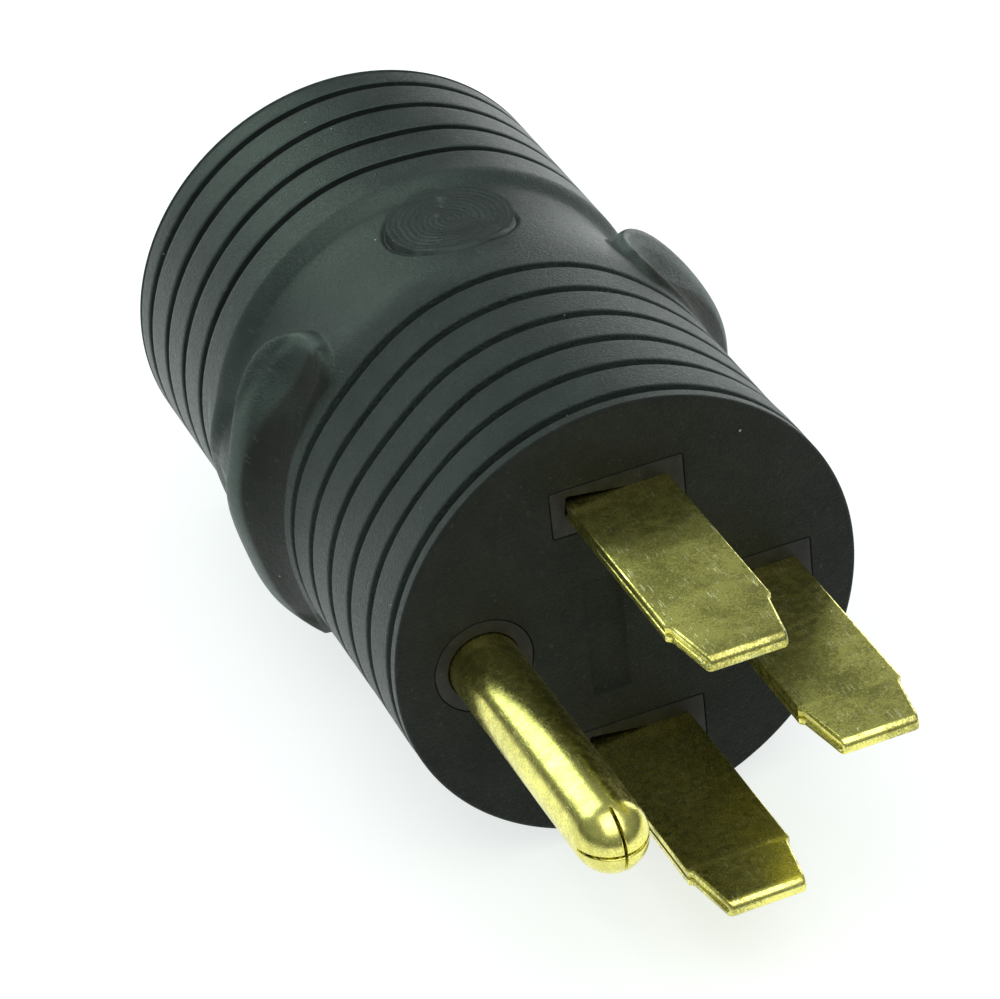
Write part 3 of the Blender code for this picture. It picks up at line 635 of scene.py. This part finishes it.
class Shade:
    """One procedural material. Its textures are laid out in millimetres on the piece's own coordinates."""

    def __init__(self, name):
        self.material = bpy.data.materials.new(name)
        self.material.use_nodes = True
        self.tree = self.material.node_tree
        self.shader = self.tree.nodes["Principled BSDF"]
        coordinates = self.tree.nodes.new("ShaderNodeTexCoord")
        inputs = {0: coordinates.outputs["Object"], "Scale": 1000.0}
        scaled = self.node("ShaderNodeVectorMath", inputs, operation="SCALE")
        self.place = scaled.outputs["Vector"]
        split = self.node("ShaderNodeSeparateXYZ", {0: self.place})
        self.along = split.outputs["Y"]
        self.across = split.outputs["X"]
        self.height = split.outputs["Z"]

    def put(self, socket, value):
        if isinstance(value, bpy.types.NodeSocket):
            self.tree.links.new(value, socket)
        elif isinstance(value, tuple) and len(socket.default_value) == 4:
            socket.default_value = (*value, 1.0)
        else:
            socket.default_value = value

    def node(self, kind, inputs, **settings):
        node = self.tree.nodes.new(kind)
        for name, value in settings.items():
            setattr(node, name, value)
        for name, value in inputs.items():
            self.put(node.inputs[name], value)
        return node

    def stretched(self, stretch, turn=(0.0, 0.0, 0.0)):
        inputs = {"Vector": self.place, "Scale": stretch, "Rotation": turn}
        return self.node("ShaderNodeMapping", inputs).outputs["Vector"]

    def noise(self, per_mm, detail=3.0, rough=0.55, place=None, distortion=0.0):
        inputs = {"Vector": place or self.place, "Scale": per_mm, "Detail": detail, "Roughness": rough}
        inputs["Distortion"] = distortion
        return self.node("ShaderNodeTexNoise", inputs).outputs["Fac"]

    def between(self, value, low, high, to_low=0.0, to_high=1.0):
        inputs = {"Value": value, "From Min": low, "From Max": high, "To Min": to_low, "To Max": to_high}
        return self.node("ShaderNodeMapRange", inputs, interpolation_type="SMOOTHSTEP").outputs["Result"]

    def math(self, operation, first, second):
        return self.node("ShaderNodeMath", {0: first, 1: second}, operation=operation).outputs["Value"]

    def times(self, first, second):
        return self.math("MULTIPLY", first, second)

    def plus(self, first, second):
        return self.math("ADD", first, second)

    def mix(self, share, colour, other):
        mixer = self.node("ShaderNodeMix", {"Factor": share}, data_type="RGBA")
        self.put(mixer.inputs[6], colour)
        self.put(mixer.inputs[7], other)
        return mixer.outputs[2]

    def specks(self, per_mm, rarity, radius):
        """Small round spots in a few cells of a random pattern. The radius is in cells."""
        cells = self.node("ShaderNodeTexVoronoi", {"Vector": self.place, "Scale": per_mm})
        chosen = self.node("ShaderNodeSeparateColor", {"Color": cells.outputs["Color"]}).outputs["Red"]
        size = self.between(chosen, rarity, 1.0, 0.0, radius)
        return self.math("LESS_THAN", cells.outputs["Distance"], size)

    def scratches(self, direction, per_mm, rarity, stretch=(1.0, 0.06, 1.0)):
        """Fine broken lines along one direction."""
        lines = self.noise(per_mm, 2.0, 0.6, self.stretched(stretch, (0.0, 0.0, direction)))
        broken = self.noise(0.5, 2.0)
        return self.times(self.between(lines, rarity, rarity + 0.06), self.between(broken, 0.48, 0.6))

    def crest_highlight_mask(self):
        """1 on the finger flanges' crests, where a lighter colour is painted on as a highlight; they are also
        glossier than the scoops.
        """
        side = self.math("ABSOLUTE", self.across, 0.0)
        level = self.plus(self.height, -FACE.z / MM)
        radius = self.math("SQRT", self.plus(self.times(side, side), self.times(level, level)), 0.0)
        angle = self.math("ARCTAN2", level, side)
        share = self.math("MAXIMUM", self.times(angle, BAND_RADIUS / TOP_ARC), 0.0)
        high, low = LOW_DIP_ANGLES
        drop = self.plus(
            self.times(self.math("POWER", share, TOP_DROP_POWER), TOP_DROP / MM),
            self.between(angle, low, high, LOW_DIP / MM, 0.0),
        )
        below_crest = self.math("SUBTRACT", CREST_RADIUS / MM, self.plus(radius, drop))
        crest = (FACE.y + CREST_STATION) / MM
        in_front = self.between(self.along, crest - 4.0, crest - 2.5)
        behind = self.between(self.along, crest + 0.8, crest + 2.2, 1.0, 0.0)
        at_side = self.between(side, 17.0, 19.0)
        on_top = self.between(below_crest, 0.25, 1.1, 1.0, 0.0)
        return self.times(self.times(self.times(in_front, behind), at_side), on_top)

    def flange_scoop(self):
        """1 in the finger flanges' scoops."""
        front = (FACE.y + FLANGE_FRONT) / MM
        crest = (FACE.y + CREST_STATION) / MM
        behind_front = self.between(self.along, front - 0.3, front + 0.5)
        before_crest = self.between(self.along, crest - 2.8, crest - 1.2, 1.0, 0.0)
        at_side = self.between(self.math("ABSOLUTE", self.across, 0.0), 18.5, 20.5)
        return self.times(self.times(behind_front, before_crest), at_side)

    def from_disc(self):
        """The distance from the middle of the round moulding mark."""
        across, station = DISC_CENTRE
        centre = (across / MM, (FACE.y + station) / MM, (FACE.z + DISC_LEVEL) / MM)
        inputs = {0: self.place, 1: centre}
        return self.node("ShaderNodeVectorMath", inputs, operation="DISTANCE").outputs["Value"]

    def bump(self, *layers):
        """Stacked bumps: each layer is (height, how many millimetres high)."""
        normal = None
        for height, size in layers:
            inputs = {"Height": height, "Distance": size * MM, "Strength": 1.0}
            if normal:
                inputs["Normal"] = normal
            normal = self.node("ShaderNodeBump", inputs).outputs["Normal"]
        self.put(self.shader.inputs["Normal"], normal)

    def finish(self, colour, roughness, metallic=0.0, **sockets):
        self.put(self.shader.inputs["Base Color"], colour)
        self.put(self.shader.inputs["Roughness"], roughness)
        self.put(self.shader.inputs["Metallic"], metallic)
        for name, value in sockets.items():
            self.put(self.shader.inputs[name.replace("_", " ")], value)
        return self.material


def vinyl():
    """The jacket: leathery on the male band, smoother behind it, flat black on the face and in the scoops,
    which also get a darker painted shade colour; a painted highlight on the flanges' crests and painted shade
    in the moulding mark's ring groove.
    """
    shade = Shade("vinyl")
    on_face = shade.between(shade.along, FACE.y / MM + 0.32, FACE.y / MM + 0.5, 1.0, 0.0)
    on_male = shade.between(shade.along, FACE.y / MM + 31, FACE.y / MM + 37, 1.0, 0.25)
    # The crests' mask: a lighter colour is painted there as a highlight, and the scoops' matte stops short of
    # it
    lip = shade.crest_highlight_mask()
    in_scoop = shade.times(shade.flange_scoop(), shade.math("SUBTRACT", 1.0, lip))
    # Mask of the face and the scoops: lower gloss there, and a darker colour painted on as shade
    matte_and_shaded = shade.math("MAXIMUM", on_face, in_scoop)
    grain = shade.noise(3.0, 4.0, 0.66, distortion=0.5)
    pores = shade.noise(9.0, 2.0)
    mottle = shade.noise(0.22, 5.0, 0.62)
    scuffs = shade.scratches(0.7, 1.6, 0.62, (1.0, 0.25, 1.0))
    dust = shade.specks(0.55, 0.88, 0.075)
    body = shade.mix(shade.between(mottle, 0.35, 0.68), (0.0125, 0.0155, 0.0145), (0.018, 0.0235, 0.021))
    face = shade.mix(shade.between(mottle, 0.35, 0.68), (0.0135, 0.0135, 0.0115), (0.0195, 0.0195, 0.0165))
    # Painted shade: the face and the scoops get a darker, less green copy of the vinyl colour
    colour = shade.mix(matte_and_shaded, body, face)
    from_disc = shade.from_disc()
    edge = DISC_RADIUS / MM
    on_disc = shade.between(from_disc, edge - 0.1, edge + 0.1, 1.0, 0.0)
    wobble = shade.noise(0.35, 4.0, 0.6)
    rings = shade.math("SINE", shade.plus(shade.times(from_disc, 9.0), shade.times(wobble, 6.0)), 0.0)
    outline = shade.times(
        shade.between(from_disc, edge, edge + 0.15),
        shade.between(from_disc, edge + 0.3, edge + 0.45, 1.0, 0.0),
    )
    colour = shade.mix(shade.times(on_disc, 0.6), colour, (0.009, 0.010, 0.010))
    # Painted shade: near black in the fine ring groove round the moulding mark
    colour = shade.mix(outline, colour, (0.002, 0.002, 0.002))
    colour = shade.mix(shade.times(scuffs, 0.35), colour, (0.065, 0.075, 0.070))
    # Painted highlight: a lighter green-grey colour along the finger flanges' crests
    colour = shade.mix(shade.times(lip, 0.75), colour, (0.062, 0.082, 0.073))
    colour = shade.mix(dust, colour, (0.42, 0.46, 0.43))
    rough = shade.between(grain, 0.3, 0.7, 0.29, 0.47)
    rough = shade.plus(rough, shade.times(shade.plus(mottle, -0.5), 0.12))
    rough = shade.plus(rough, shade.times(matte_and_shaded, 0.12))
    relief = shade.plus(shade.times(grain, on_male), shade.times(shade.times(rings, on_disc), 0.03))
    shade.bump((relief, 0.42), (pores, 0.012), (mottle, 0.14), (scuffs, 0.015))
    glossy = shade.between(matte_and_shaded, 0.0, 1.0, 0.5, 0.16)
    return shade.finish(colour, rough, Specular_Tint=(0.74, 1.0, 0.88), Specular_IOR_Level=glossy)


def nylon():
    """The prong carrier and the socket block: flatter, slightly warm black with fine moulding grain."""
    shade = Shade("nylon")
    mottle = shade.noise(0.5, 5.0, 0.6)
    grain = shade.noise(5.0, 3.0)
    rubbed = shade.scratches(0.3, 3.0, 0.6)
    dust = shade.specks(0.5, 0.9, 0.05)
    colour = shade.mix(shade.between(mottle, 0.35, 0.65), (0.0145, 0.0145, 0.0125), (0.022, 0.022, 0.0185))
    colour = shade.mix(shade.times(rubbed, 0.4), colour, (0.08, 0.08, 0.07))
    colour = shade.mix(dust, colour, (0.35, 0.37, 0.33))
    shade.bump((grain, 0.015), (mottle, 0.03), (rubbed, -0.008))
    return shade.finish(colour, shade.between(grain, 0.3, 0.7, 0.46, 0.58), Specular_IOR_Level=0.2)


def brass(name, tarnish, gloss):
    """Bare brass strip or rod: mottled brown tarnish, fine handling scratches and cloudy patches."""
    shade = Shade(name)
    clouds = shade.noise(0.16, 5.0, 0.62, distortion=0.4)
    patches = shade.noise(0.9, 6.0, 0.7)
    speckle = shade.noise(4.5, 3.0, 0.65)
    rubbed = shade.plus(shade.scratches(0.5, 5.0, 0.60), shade.scratches(-0.9, 4.0, 0.62))
    drawn = shade.noise(9.0, 2.0, 0.6, shade.stretched((1.0, 0.05, 1.0)))
    pits = shade.specks(1.3, 0.86, 0.08)
    fine = shade.plus(shade.times(patches, 0.26), shade.times(speckle, 0.38))
    mixed = shade.plus(shade.times(clouds, 0.36), fine)
    dull = shade.times(shade.between(mixed, 0.44, 0.57), tarnish)
    colour = shade.mix(dull, (0.95, 0.89, 0.25), (0.33, 0.315, 0.085))
    colour = shade.mix(shade.times(rubbed, 0.6 * tarnish), colour, (1.0, 1.0, 0.62))
    colour = shade.mix(shade.times(pits, tarnish), colour, (0.16, 0.13, 0.04))
    rough = shade.plus(shade.times(dull, 0.12), shade.between(patches, 0.3, 0.7, gloss, gloss + 0.10))
    shade.bump((clouds, 0.03), (patches, 0.004), (speckle, 0.006), (drawn, 0.002), (rubbed, -0.004))
    return shade.finish(colour, rough, 1.0)


def bright_metal(name, colour, worn, roughness):
    """Drawn wire or rolled spring strip, with lengthwise lines and dull patches."""
    shade = Shade(name)
    drawn = shade.noise(8.0, 3.0, 0.6, shade.stretched((1.0, 0.08, 1.0)))
    patches = shade.noise(0.8, 5.0, 0.65)
    mixed = shade.mix(shade.between(patches, 0.42, 0.66), colour, worn)
    shade.bump((drawn, 0.006), (patches, 0.01))
    return shade.finish(mixed, shade.between(drawn, 0.3, 0.7, roughness, roughness + 0.14), 1.0)


def stranded_copper():
    """The bunched strands show as slanted ridges round the conductor."""
    shade = Shade("stranded_copper")
    strands = shade.node(
        "ShaderNodeTexWave",
        {"Vector": shade.stretched((1.0, 1.0, 1.0), (0.5, 0.0, 0.9)), "Scale": 0.5, "Distortion": 0.4},
        wave_type="BANDS",
    ).outputs["Fac"]
    patches = shade.noise(1.1, 5.0, 0.65)
    colour = shade.mix(shade.between(patches, 0.42, 0.66), (0.80, 0.42, 0.25), (0.42, 0.20, 0.12))
    shade.bump((strands, 0.12), (patches, 0.01))
    return shade.finish(colour, shade.between(patches, 0.3, 0.7, 0.28, 0.42), 1.0)


def insulation(name, colour, soiled):
    """Extruded wire covering: slightly wavy, with dirt and faint lengthwise die lines."""
    shade = Shade(name)
    lines = shade.noise(5.0, 2.0, 0.6, shade.stretched((1.0, 0.06, 1.0)))
    dirt = shade.noise(0.7, 5.0, 0.65)
    mixed = shade.mix(shade.between(dirt, 0.48, 0.72), colour, soiled)
    shade.bump((lines, 0.01), (dirt, 0.03))
    return shade.finish(mixed, shade.between(lines, 0.3, 0.7, 0.38, 0.5))


def filler():
    """The hard grey filling, with flow marks and grit."""
    shade = Shade("filler")
    flow = shade.noise(0.35, 6.0, 0.65, distortion=0.8)
    grit = shade.specks(1.6, 0.8, 0.12)
    colour = shade.mix(shade.between(flow, 0.35, 0.65), (0.17, 0.17, 0.16), (0.26, 0.26, 0.25))
    colour = shade.mix(shade.times(grit, 0.6), colour, (0.07, 0.07, 0.065))
    shade.bump((flow, 0.12), (grit, -0.03))
    return shade.finish(colour, shade.between(flow, 0.3, 0.7, 0.55, 0.7))


def dress(piece, material, node):
    """Gives a piece its material and puts it in the place of its CAD node."""
    piece.data.materials.append(material)
    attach(piece, "root")
    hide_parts(node)


NYLON = nylon()
STRIP_BRASS = brass("strip_brass", 1.0, 0.19)
PIN_BRASS = brass("pin_brass", 0.45, 0.17)

dress(make_jacket(), vinyl(), "body_overmould")
dress(make_male_insert(), NYLON, "male_insert")
dress(make_socket_block(), NYLON, "female_insert")
dress(make_blade("hot_x", wired=True), STRIP_BRASS, "prong_hot_x")
dress(make_blade("hot_y", wired=False), STRIP_BRASS, "prong_hot_y")
dress(make_blade("neutral", wired=True), STRIP_BRASS, "prong_neutral")
dress(make_pin(), PIN_BRASS, "prong_ground")

HIDDEN_PARTS = {
    "contact_spring": bright_metal("spring_steel", (0.56, 0.57, 0.58), (0.36, 0.36, 0.36), 0.26),
    "contact": brass("contact_brass", 0.5, 0.2),
    "conductor": stranded_copper(),
    "insulation_hot": insulation("black_insulation", (0.022, 0.022, 0.022), (0.05, 0.05, 0.045)),
    "insulation_neutral": insulation("white_insulation", (0.80, 0.80, 0.77), (0.62, 0.61, 0.56)),
    "insulation_ground": insulation("green_insulation", (0.05, 0.32, 0.10), (0.05, 0.22, 0.08)),
    "inner_core": filler(),
    "female_insert_cap": NYLON,
}

for name, node in frame["nodes"].items():
    for start, material in HIDDEN_PARTS.items():
        if name.startswith(start):
            node.data.materials.clear()
            node.data.materials.append(material)
            break


# ---------------------------------------------------------------- floor, lights, camera

FLOOR_HALF = 3.0
FLOOR_GLOW = 0.74
HORIZON = (0.085, 0.09, 0.09, 1)
OVERHEAD = (0.27, 0.30, 0.285, 1)
LIGHTS_AIM = Vector((0, 0, 0.03))
CAMERA_LENS = 172.8
CAMERA_FROM_FACE = Vector((-0.1502, -0.3901, 0.3021))
CAMERA_RIGHT = Vector((0.9161, -0.3898, -0.0940))
CAMERA_UP = Vector((0.2928, 0.4903, 0.8209))


def make_floor():
    """A plain pale floor with an even glow, so the shadows on it stay pale."""
    corners = [(-FLOOR_HALF, -FLOOR_HALF, 0), (FLOOR_HALF, -FLOOR_HALF, 0)]
    corners += [(FLOOR_HALF, FLOOR_HALF, 0), (-FLOOR_HALF, FLOOR_HALF, 0)]
    mesh = bpy.data.meshes.new("floor")
    mesh.from_pydata(corners, [], [(0, 1, 2, 3)])
    floor = bpy.data.objects.new("floor", mesh)
    bpy.context.scene.collection.objects.link(floor)
    shade = Shade("floor")
    paper = shade.noise(0.4, 4.0)
    colour = shade.mix(paper, (0.335, 0.35, 0.345), (0.35, 0.365, 0.36))
    glow = {"Emission_Color": (0.97, 1.0, 0.99), "Emission_Strength": FLOOR_GLOW}
    floor.data.materials.append(shade.finish(colour, 0.8, **glow))


def softbox(name, direction, distance, size, power, colour=(1, 1, 1)):
    data = bpy.data.lights.new(name, "AREA")
    data.shape = "RECTANGLE"
    data.size, data.size_y = size
    data.energy = power
    data.color = colour
    light = bpy.data.objects.new(name, data)
    bpy.context.scene.collection.objects.link(light)
    away = Vector(direction).normalized()
    light.location = LIGHTS_AIM + away * distance
    light.rotation_mode = "QUATERNION"
    light.rotation_quaternion = away.to_track_quat("Z", "Y")


def make_camera():
    """A long lens in front of the prongs, to their left and above, a little rolled."""
    data = bpy.data.cameras.new("camera")
    data.sensor_width = 36.0
    data.lens = CAMERA_LENS
    data.clip_start = 0.05
    data.clip_end = 20
    camera = bpy.data.objects.new("camera", data)
    bpy.context.scene.collection.objects.link(camera)
    turn = Matrix((CAMERA_RIGHT, CAMERA_UP, CAMERA_RIGHT.cross(CAMERA_UP))).transposed()
    camera.matrix_world = Matrix.Translation(FACE + CAMERA_FROM_FACE) @ turn.to_4x4()
    bpy.context.scene.camera = camera


def make_world():
    """A room that lights the object dimly, paler overhead, and is plain white behind it."""
    world = bpy.data.worlds.new("studio")
    world.use_nodes = True
    bpy.context.scene.world = world
    nodes, links = world.node_tree.nodes, world.node_tree.links
    direction = nodes.new("ShaderNodeTexCoord")
    split = nodes.new("ShaderNodeSeparateXYZ")
    height = nodes.new("ShaderNodeMapRange")
    height.interpolation_type = "SMOOTHSTEP"
    height.inputs["From Min"].default_value = 0.0
    height.inputs["From Max"].default_value = 0.55
    room = nodes.new("ShaderNodeMix")
    room.data_type = "RGBA"
    room.inputs[6].default_value = HORIZON
    room.inputs[7].default_value = OVERHEAD
    seen = nodes.new("ShaderNodeMix")
    seen.data_type = "RGBA"
    seen.inputs[7].default_value = (1, 1, 1, 1)
    path = nodes.new("ShaderNodeLightPath")
    links.new(direction.outputs["Generated"], split.inputs[0])
    links.new(split.outputs["Z"], height.inputs["Value"])
    links.new(height.outputs["Result"], room.inputs["Factor"])
    links.new(room.outputs[2], seen.inputs[6])
    links.new(path.outputs["Is Camera Ray"], seen.inputs["Factor"])
    links.new(seen.outputs[2], nodes["Background"].inputs["Color"])


make_floor()
make_world()
make_camera()
softbox("left_overhead", (-0.30, 0.75, 0.58), 0.9, (0.62, 0.5), 2.5, (0.88, 1.0, 0.94))
softbox("right_low", (0.335, 0.27, 0.07), 0.436, (0.22, 0.2), 0.32)
softbox("top_front", (0.0, -0.35, 0.94), 1.2, (1.3, 1.3), 13)
bpy.context.scene.view_settings.view_transform = "Standard"
